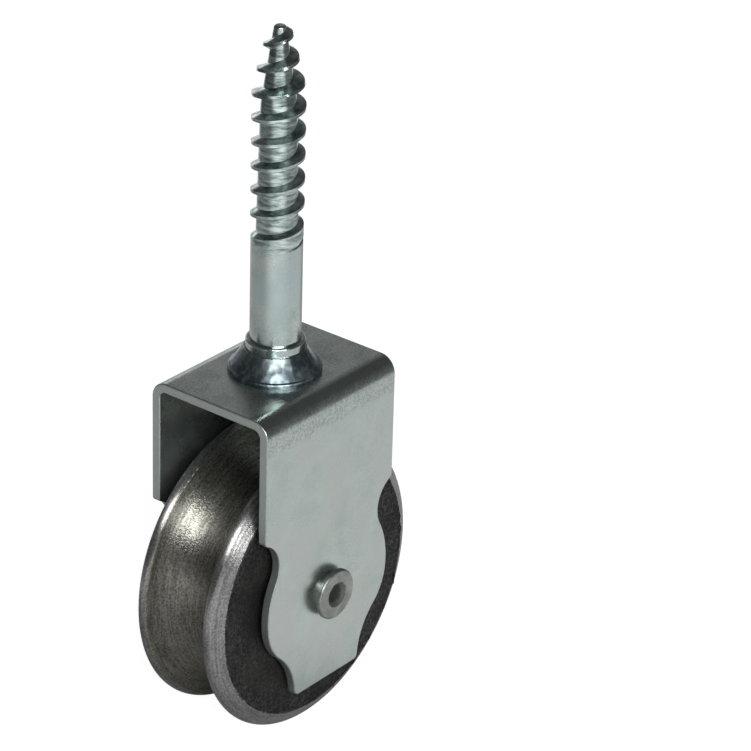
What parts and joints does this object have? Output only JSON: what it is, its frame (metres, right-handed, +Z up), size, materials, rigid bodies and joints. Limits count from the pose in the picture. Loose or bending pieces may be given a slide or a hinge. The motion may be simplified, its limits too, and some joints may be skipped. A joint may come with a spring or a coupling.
{
  "type": "sliding gate wheel",
  "caption": "Round-groove steel wheel turning on a riveted axle in a folded sheet fork, with a lag screw stem that fixes it under a sliding gate.",
  "frame": {"origin": "on the stem axis, on the upper face of the collar, where the plain shank starts", "axes": "+X along the track, +Y along the axle towards the domed rivet head, +Z up the stem"},
  "size_m": [0.06, 0.0359, 0.1445],
  "materials": {
    "zinc_plate": "bright zinc plated sheet",
    "zinc_stem": "bright zinc plated",
    "rivet_steel": "hammered steel",
    "bearing_steel": "ground",
    "wheel_steel": "turned rim, dark cast sides",
    "cap_steel": "pressed sheet",
    "cage_steel": "pressed sheet"
  },
  "bodies": {
    "bracket": {"fork": "zinc_plate", "lag_stem": "zinc_stem", "axle_rivet": "rivet_steel", "axle_sleeve": "bearing_steel"},
    "wheel": {"wheel": "wheel_steel", "hub_cap_head_side": "cap_steel", "hub_cap_tail_side": "cap_steel"},
    "roller_cage": {"roller_cage": "cage_steel", "roller_1": "bearing_steel", "roller_2": "bearing_steel", "roller_3": "bearing_steel", "roller_4": "bearing_steel", "roller_5": "bearing_steel", "roller_6": "bearing_steel", "roller_7": "bearing_steel", "roller_8": "bearing_steel", "roller_9": "bearing_steel", "roller_10": "bearing_steel"}
  },
  "joints": [
    {"name": "wheel_spin", "type": "hinge", "parent": "bracket", "child": "wheel", "pos_m": [0, 0, -0.0508], "axis": [0, 1, 0], "continuous": true},
    {"name": "cage_spin", "type": "hinge", "parent": "bracket", "child": "roller_cage", "pos_m": [0, 0, -0.0508], "axis": [0, 1, 0], "continuous": true}
  ],
  "couplings": [
    {"joint": "cage_spin", "follows": "wheel_spin", "ratio": 0.61459}
  ]
}
